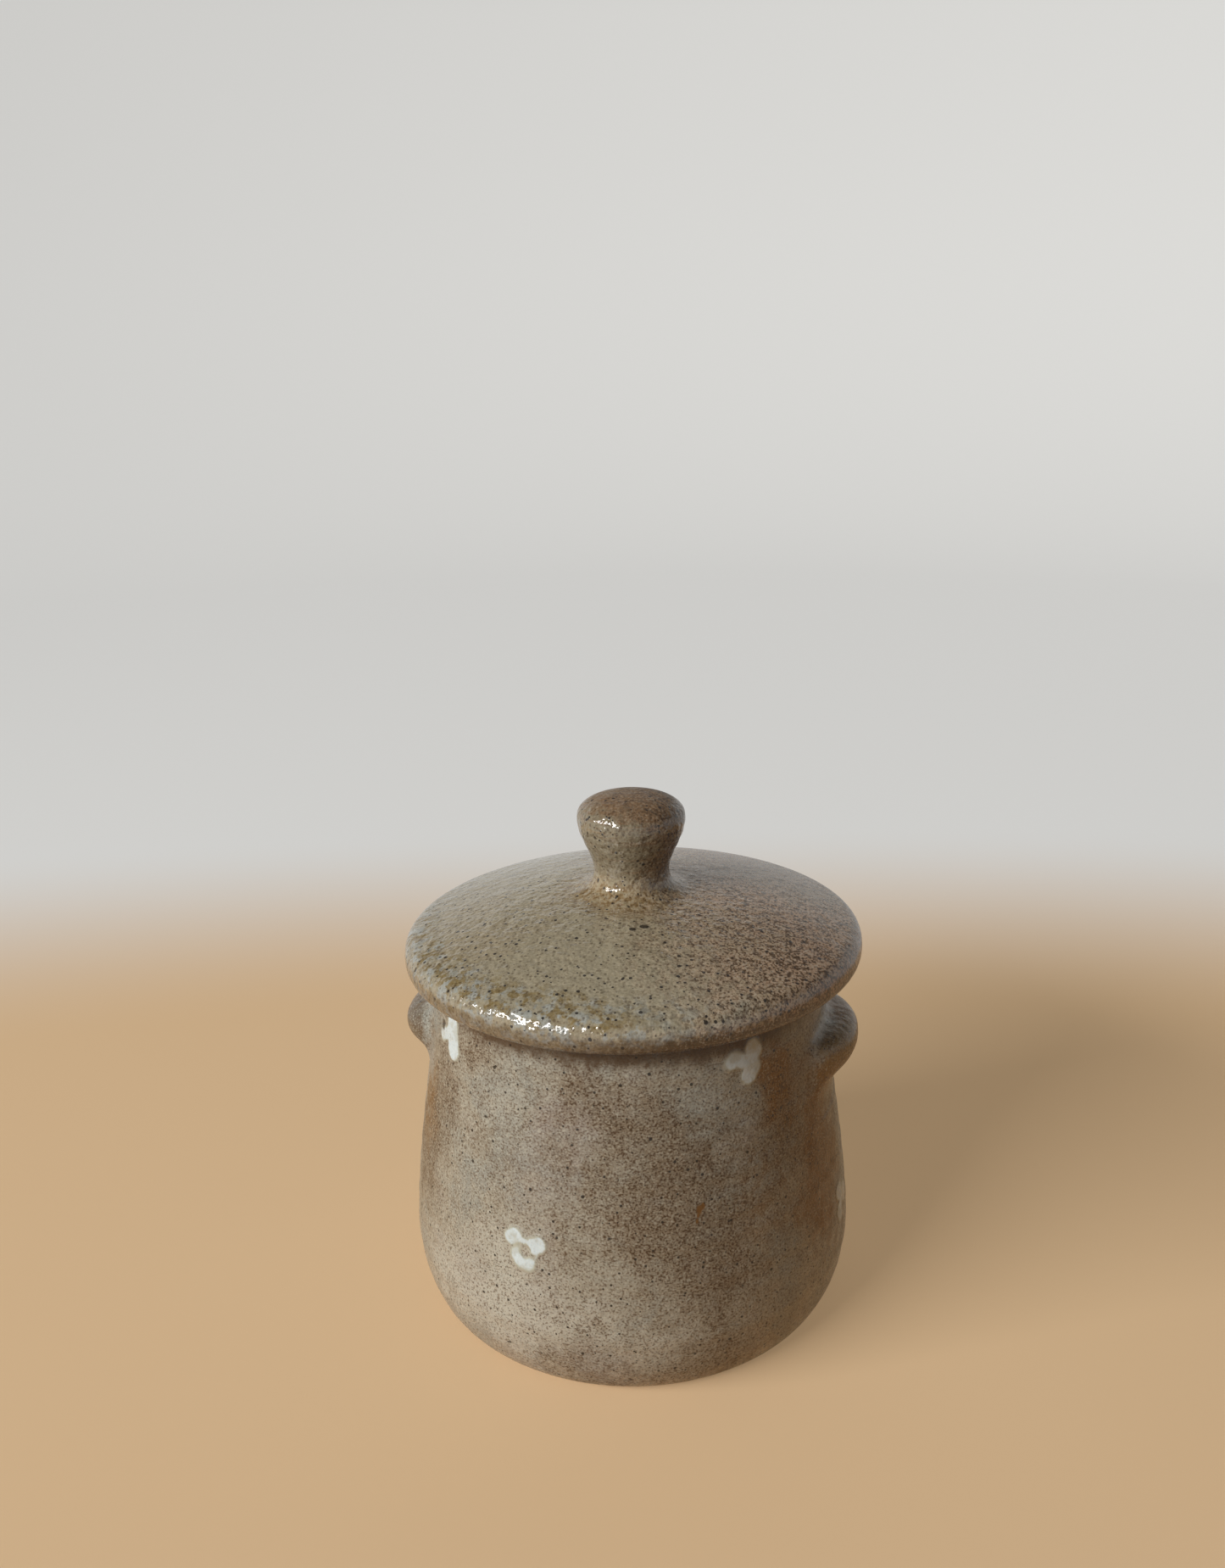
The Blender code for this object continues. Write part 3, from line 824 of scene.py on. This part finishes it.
    roughness = (look["roughness"] + look["mottleRoughness"] * finish.ramp(mottle, 0.4, 0.65)
                 + look["toastRoughness"] * toast - look["slipGloss"] * covered)
    surface = (0.16 * finish.noise(place, 1.5, 11, detail=1) + 0.05 * grain
               + 0.18 * finish.noise(place, 4.5, 12, detail=1) + 0.03 * iron)
    bump = {"Height": surface, "Distance": mm, "Strength": look["bump"]}
    normal = finish.add("ShaderNodeBump", {}, bump)
    return finish.shader({"Base Color": colour, "Roughness": roughness, "Normal": normal, "IOR": look["ior"]})


lidFinish = dict(
    celadon=(0.50, 0.425, 0.28),
    blush=(0.58, 0.365, 0.225),
    dun=(0.36, 0.30, 0.20),
    straw=(0.46, 0.36, 0.22),
    mist=(0.43, 0.39, 0.285),
    bluish=(0.47, 0.475, 0.42),
    ochre=(0.29, 0.20, 0.07),
    rim=(0.085, 0.042, 0.013),
    collar=(0.32, 0.205, 0.085),
    knob=(0.265, 0.225, 0.15),
    crown=(0.30, 0.17, 0.08),
    lightGrain=(0.60, 0.52, 0.40),
    grain=(0.10, 0.052, 0.022),
    speck=(0.085, 0.048, 0.022),
    iron=(0.02, 0.014, 0.012),
    grey=(0.27, 0.25, 0.21),
    blushShare=0.95,   # how much of what lies under it a colour covers at its fullest
    dunShare=0.35,
    strawShare=0.4,
    mistShare=0.75,
    bluishShare=0.9,
    paleShare=0.7,
    ochreShare=0.9,
    rimShare=0.97,
    collarShare=0.95,
    knobShare=0.8,
    crownShare=0.9,
    ironShare=0.9,
    greyShare=0.8,
    cloudSize=16,
    mottleSize=2.4,
    blotSize=3.0,
    ochreSize=(2.8, 2.8, 2.2),
    grainSize=0.54,
    sandSize=1.3,
    bandSize=(9, 9, 0.8),        # throwing lines on the knob
    drift=(20, 20, 8),
    roughness=0.02,              # where the glaze is cleanest
    mottleRoughness=0.05,        # what the layers add to that
    blushRoughness=0.2,
    topRoughness=0.4,
    ripples=((1.5, 0.3, 32), (4.5, 0.5, 34)),   # size, depth and seed of the dimples in the gloss
    bump=1.0,
    ior=1.62,
    bigSpots=[(6.2, -20.5, 97.5, 1.5, 1.1), (3.8, -21.8, 97.4, 1.1, 0.9)],  # x, y, z, half widths
    greySpots=[(-30.3, 15.0, 95.3, 2.2, 1.7)],
    paleSpots=[(26.5, -43.0, 90.6, 4.5, 3.0), (-5, -48, 90, 10, 3), (12, -49, 89.5, 8, 3)],
)


def lidGlaze():
    look = lidFinish
    finish = Finish(bpy.data.materials.new("lid_glaze"))
    place = finish.place
    centred = finish.vector("SUBTRACT", place, (*lid["shift"], 0))
    drift = finish.noise(place, 10, 21, detail=4, roughness=0.6, out=1)
    drift = finish.vector("SUBTRACT", drift, (0.5, 0.5, 0.5))
    drifted = finish.vector("MULTIPLY_ADD", drift, look["drift"], centred)
    out = finish.vector("LENGTH", finish.vector("MULTIPLY", centred, (1, 1, 0)))
    height = finish.axis(place, "Z")
    rightward = finish.vector("DOT_PRODUCT", drifted, (0.92, 0.39, 0))
    leftward = finish.vector("DOT_PRODUCT", drifted, (-0.67, -0.743, 0))
    clouds = finish.noise(drifted, look["cloudSize"], 22, detail=4, roughness=0.55)
    mottle = finish.noise(place, look["mottleSize"], 23, detail=3, roughness=0.65)
    blots = finish.noise(place, look["blotSize"], 28, detail=3, roughness=0.6)
    grain = finish.noise(place, look["grainSize"], 24, detail=2, roughness=0.6)
    sand = finish.noise(place, look["sandSize"], 25, detail=2, roughness=0.6)
    unsettled = finish.ramp(mottle, 0.3, 0.7, -1, 1)

    # celadon turning to blush on the right, dun at the far left, straw in clouds
    blush = finish.ramp(rightward + 5 * unsettled, -14, 26)
    colour = finish.mix(blush * look["blushShare"], look["celadon"], look["blush"])
    colour = finish.mix(finish.ramp(rightward, -8, -45, 0, look["dunShare"]), colour, look["dun"])
    colour = finish.mix(finish.ramp(clouds, 0.45, 0.66, 0, look["strawShare"]), colour, look["straw"])

    # mottles near the left edge: mist, bluish and ochre, and the dark rim
    nearLeft = finish.ramp(leftward, 8, 42)
    edge = finish.ramp(out + 2.4 * unsettled, 42, 50.5)
    mist = edge * nearLeft * finish.ramp(blots, 0.36, 0.62, 0.1, look["mistShare"])
    colour = finish.mix(mist, colour, look["mist"])
    bluish = edge * nearLeft * finish.ramp(blots, 0.5, 0.57, 0, look["bluishShare"])
    colour = finish.mix(bluish, colour, look["bluish"])
    pale = summed(finish.patch(drifted, (across, deep, high), (long, wide, 3))
                  for across, deep, high, long, wide in look["paleSpots"])
    colour = finish.mix(pale * look["paleShare"], colour, look["mist"])
    ochre = finish.ramp(out + 1.5 * unsettled, 41.5, 47) * finish.ramp(out + 1.2 * unsettled, 53, 50.5)
    ochre = ochre * finish.ramp(leftward, 22, 40)
    streaked = finish.noise(place, look["ochreSize"], 29, detail=4, roughness=0.65)
    ochre = ochre * finish.ramp(streaked, 0.48, 0.56) * look["ochreShare"]
    colour = finish.mix(ochre, colour, look["ochre"])
    rim = finish.ramp(height + 0.6 * unsettled, 88.5, 85.7) * finish.ramp(out, 48, 50)
    colour = finish.mix(rim * finish.ramp(leftward, 50, 25, 0.5, look["rimShare"]), colour, look["rim"])

    # the knob, its toasted collar and crown, and its throwing lines
    collar = finish.ramp(out + 2.2 * unsettled, 20, 12.5) * finish.ramp(height, 105, 102)
    collar = collar * finish.ramp(leftward, -14, 8, 0.35, 1.0)
    collar = collar * finish.ramp(sand, 0.4, 0.6, 0.25, look["collarShare"])
    colour = finish.mix(collar, colour, look["collar"])
    crown = finish.ramp(height + 0.04 * rightward + 0.8 * unsettled, 116.3, 120.0)
    bands = finish.noise(centred, look["bandSize"], 31, detail=2)
    streaks = finish.ramp(bands, 0.48, 0.62) * finish.ramp(height, 102, 106)
    colour = finish.mix(finish.ramp(height, 101, 106) * look["knobShare"], colour, look["knob"])
    ruddy = finish.ramp(rightward, -6, 11) * finish.ramp(height, 100, 104) * 0.9
    toasted = finish.ramp(crown * 0.85 + ruddy + streaks * 0.4, 0.0, 1.2)
    colour = finish.mix(toasted * look["crownShare"], colour, look["crown"])

    # grain and specks, busier in the blush, and the single spots
    busy = 0.2 + 0.75 * blush
    lightGrain = finish.ramp(grain, 0.48, 0.34) * (0.2 + 0.5 * blush)
    colour = finish.mix(lightGrain, colour, look["lightGrain"])
    dark = finish.ramp(grain, 0.5, 0.61) * busy + finish.ramp(sand, 0.53, 0.63) * busy * 0.85
    colour = finish.mix(dark, colour, look["grain"])
    dust = finish.specks(place, 0.85, 0.02, 0.36, 2)
    colour = finish.mix(dust * (0.5 + 0.4 * blush), colour, look["speck"])
    iron = finish.specks(place, 1.6, 0.04, 0.38, 5) + finish.specks(place, 3.2, 0.14, 0.48, 8)
    iron = finish.ramp(iron, 0.0, 1.0)
    for across, deep, high, long, wide in look["bigSpots"]:
        iron = iron + 1.8 * finish.patch(place, (across, deep, high), (long, wide, 2))
    colour = finish.mix(finish.ramp(iron, 0.0, 1.0) * look["ironShare"], colour, look["iron"])
    for across, deep, high, long, wide in look["greySpots"]:
        spot = finish.patch(place, (across, deep, high), (long, wide, 6))
        colour = finish.mix(spot * look["greyShare"], colour, look["grey"])

    roughness = (look["roughness"] + look["mottleRoughness"] * finish.ramp(mottle, 0.4, 0.68)
                 + look["blushRoughness"] * blush + look["topRoughness"] * finish.ramp(height, 118.6, 120.4))
    ripple = summed(depth * finish.noise(place, size, seed, detail=1)
                    for size, depth, seed in look["ripples"])
    ripple = ripple * (1 + 0.2 * edge * nearLeft + 0.3 * finish.ramp(height, 103, 108))
    surface = ripple * (1 - 0.6 * blush) + 0.035 * finish.noise(place, 0.5, 33, detail=1) + 0.03 * iron
    bump = {"Height": surface, "Distance": mm, "Strength": look["bump"]}
    normal = finish.add("ShaderNodeBump", {}, bump)
    return finish.shader({"Base Color": colour, "Roughness": roughness, "Normal": normal, "IOR": look["ior"]})


clayFinish = dict(
    buff=(0.47, 0.35, 0.23),
    toasted=(0.34, 0.20, 0.11),
    iron=(0.05, 0.03, 0.02),
    gritSize=0.6,
    lineSize=(14, 14, 0.7),      # throwing lines
    roughness=0.72,
    gritRoughness=0.16,
    bump=1.0,
    ior=1.45,
)


def bareClay():
    look = clayFinish
    finish = Finish(bpy.data.materials.new("bare_clay"))
    place = finish.place
    grit = finish.noise(place, look["gritSize"], 41, detail=3, roughness=0.65)
    clouds = finish.noise(place, 9, 42, detail=3)
    colour = finish.mix(finish.ramp(clouds, 0.4, 0.62), look["buff"], look["toasted"])
    colour = finish.mix(finish.ramp(grit, 0.55, 0.7) * 0.5, colour, look["toasted"])
    iron = finish.specks(place, 1.6, 0.05, 0.25, 7)
    colour = finish.mix(iron * 0.9, colour, look["iron"])
    lines = finish.noise(place, look["lineSize"], 43, detail=2)
    bump = {"Height": 0.16 * grit + 0.12 * lines, "Distance": mm, "Strength": look["bump"]}
    normal = finish.add("ShaderNodeBump", {}, bump)
    roughness = look["roughness"] + look["gritRoughness"] * finish.ramp(grit, 0.4, 0.6)
    return finish.shader({"Base Color": colour, "Roughness": roughness, "Normal": normal, "IOR": look["ior"]})


# studio: a window to the left of the camera, and a round room whose floor turns into its wall

studio = dict(
    keyPower=7.0,
    keySize=(0.62, 0.21),   # m
    keyDistance=0.9,        # m
    keyTurn=-55.0,          # from the camera's side towards the left
    keyRise=27.0,
    bounceStrength=0.65,    # what a wall behind gives back, without a highlight
    bounceSpread=80.0,
    bounceTurn=165.0,
    bounceRise=24.0,
    aimHeight=0.07,         # m, where on the jar the lamps point
    skyLight=0.04,
    skySeen=0.2,
    floorSeen=(0.60, 0.42, 0.245),
    floorGives=(0.58, 0.27, 0.06),
    floorGlow=(0.25, 0.17, 0.095),
    wallSeen=(0.24, 0.24, 0.23),
    wallGives=(0.16, 0.155, 0.15),
    wallGlow=(0.50, 0.495, 0.48),
    wallFades=(650, 1150),  # up the wall, where it dims towards a dark ceiling
    wallHigh=0.2,
    floorEnds=(140, 330),   # behind the jar, where its colour starts and ends turning into the wall's
    floorWide=2.4,
    roomRough=0.85,
    roomRadius=1600,
    roomHeight=2600,
    roomCorner=400,
    roomAround=128,
)


def hang(name, lamp, turn, rise, away):
    holder = bpy.data.objects.new(name, lamp)
    side, rise = math.radians(turn + view["turn"]), math.radians(rise)
    towards = Vector((math.sin(side) * math.cos(rise), -math.cos(side) * math.cos(rise), math.sin(rise)))
    holder.location = Vector((0, 0, studio["aimHeight"])) + towards * away
    holder.rotation_euler = towards.to_track_quat("Z", "Y").to_euler()
    bpy.context.scene.collection.objects.link(holder)
    return holder


def setLights():
    scene = bpy.context.scene
    scene.view_settings.view_transform = "Standard"
    world = bpy.data.worlds.new("studio")
    world.use_nodes = True
    scene.world = world
    sky = Finish(world)
    strength = sky.ramp(sky.seenDirectly(), 0.0, 1.0, studio["skyLight"], studio["skySeen"])
    background = sky.add("ShaderNodeBackground", {}, {"Color": (1, 1, 1), "Strength": strength})
    sky.end("ShaderNodeOutputWorld", background)

    window = bpy.data.lights.new("window", "AREA")
    window.shape = "RECTANGLE"
    window.size, window.size_y = studio["keySize"]
    window.energy = studio["keyPower"]
    lit = Finish(window)  # daylight keeps its strength across the room
    even = lit.add("ShaderNodeLightFalloff", {}, {"Strength": studio["keyDistance"] ** -2}, "Constant")
    lit.end("ShaderNodeOutputLight", lit.add("ShaderNodeEmission", {}, {"Strength": even}))
    hang("window", window, studio["keyTurn"], studio["keyRise"], studio["keyDistance"])
    bounce = bpy.data.lights.new("wall_bounce", "SUN")
    bounce.energy = studio["bounceStrength"]
    bounce.angle = math.radians(studio["bounceSpread"])
    hang("wall_bounce", bounce, studio["bounceTurn"], studio["bounceRise"], 1.0).visible_glossy = False


def roomPaint():
    finish = Finish(bpy.data.materials.new("pale_floor"))
    seen = finish.seenDirectly()
    dimmed = finish.ramp(finish.axis(finish.place, "Z"), *studio["wallFades"], 1.0, studio["wallHigh"])
    fromMiddle = finish.vector("MULTIPLY", finish.place, (1 / studio["floorWide"], 1, 1))
    fromMiddle = finish.vector("LENGTH", fromMiddle)
    onFloor = finish.ramp(fromMiddle, studio["floorEnds"][1], studio["floorEnds"][0])
    shown = finish.mix(onFloor, studio["wallSeen"], studio["floorSeen"])
    given = finish.mix(onFloor, studio["wallGives"], studio["floorGives"])
    colour = finish.mix(dimmed, (0, 0, 0), finish.mix(seen, given, shown))
    glow = finish.mix(seen * dimmed, (0, 0, 0), finish.mix(onFloor, studio["wallGlow"], studio["floorGlow"]))
    return finish.shader({"Base Color": colour, "Roughness": studio["roomRough"],
                          "Emission Color": glow, "Emission Strength": 1.0})


def buildRoom(material):
    corner, around = studio["roomCorner"], studio["roomAround"]
    line = [tuple(point) for point in
            quarterRound((studio["roomRadius"] - corner, corner), (corner, corner), -90, 0, 24)]
    line.append((studio["roomRadius"], studio["roomHeight"]))
    angles = np.arange(around) * math.tau / around
    points = [(0, 0, 0)]
    faces = [(0, 1 + step, 1 + (step + 1) % around) for step in range(around)]
    for ring, (radius, height) in enumerate(line):
        points += [(radius * math.cos(angle), radius * math.sin(angle), height) for angle in angles]
        if ring:
            low, high = 1 + (ring - 1) * around, 1 + ring * around
            for step in range(around):
                onward = (step + 1) % around
                faces.append((low + step, high + step, high + onward, low + onward))
    room = meshPiece("studio_room", points, faces, material)
    room.rotation_euler = (0, 0, math.radians(view["turn"]))
    room.visible_shadow = False
    return room


setCamera()
setLights()
room = buildRoom(roomPaint())
print("studio: window, wall bounce, floor and backdrop")

bodyMaterial, lidMaterial, clayMaterial = bodyGlaze(), lidGlaze(), bareClay()
print("finishes:", bodyMaterial.name, lidMaterial.name, clayMaterial.name)

jarPiece = buildJar(bodyMaterial)
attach(jarPiece, "jar")
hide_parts("jar_body", "lug_right", "lug_left")
for name, turn, height, shape, roll in flowers["spots"]:
    flower = buildFlower(name, turn, height, shape, roll, bodyMaterial)
    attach(flower, "jar")
print("flowers:", len(flowers["spots"]))
lidPiece = buildLid(lidMaterial)
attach(lidPiece, "lid")
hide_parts("lid", "lid_knob")
flangePiece = buildFlange(clayMaterial)
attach(flangePiece, "lid")
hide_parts("lid_flange")
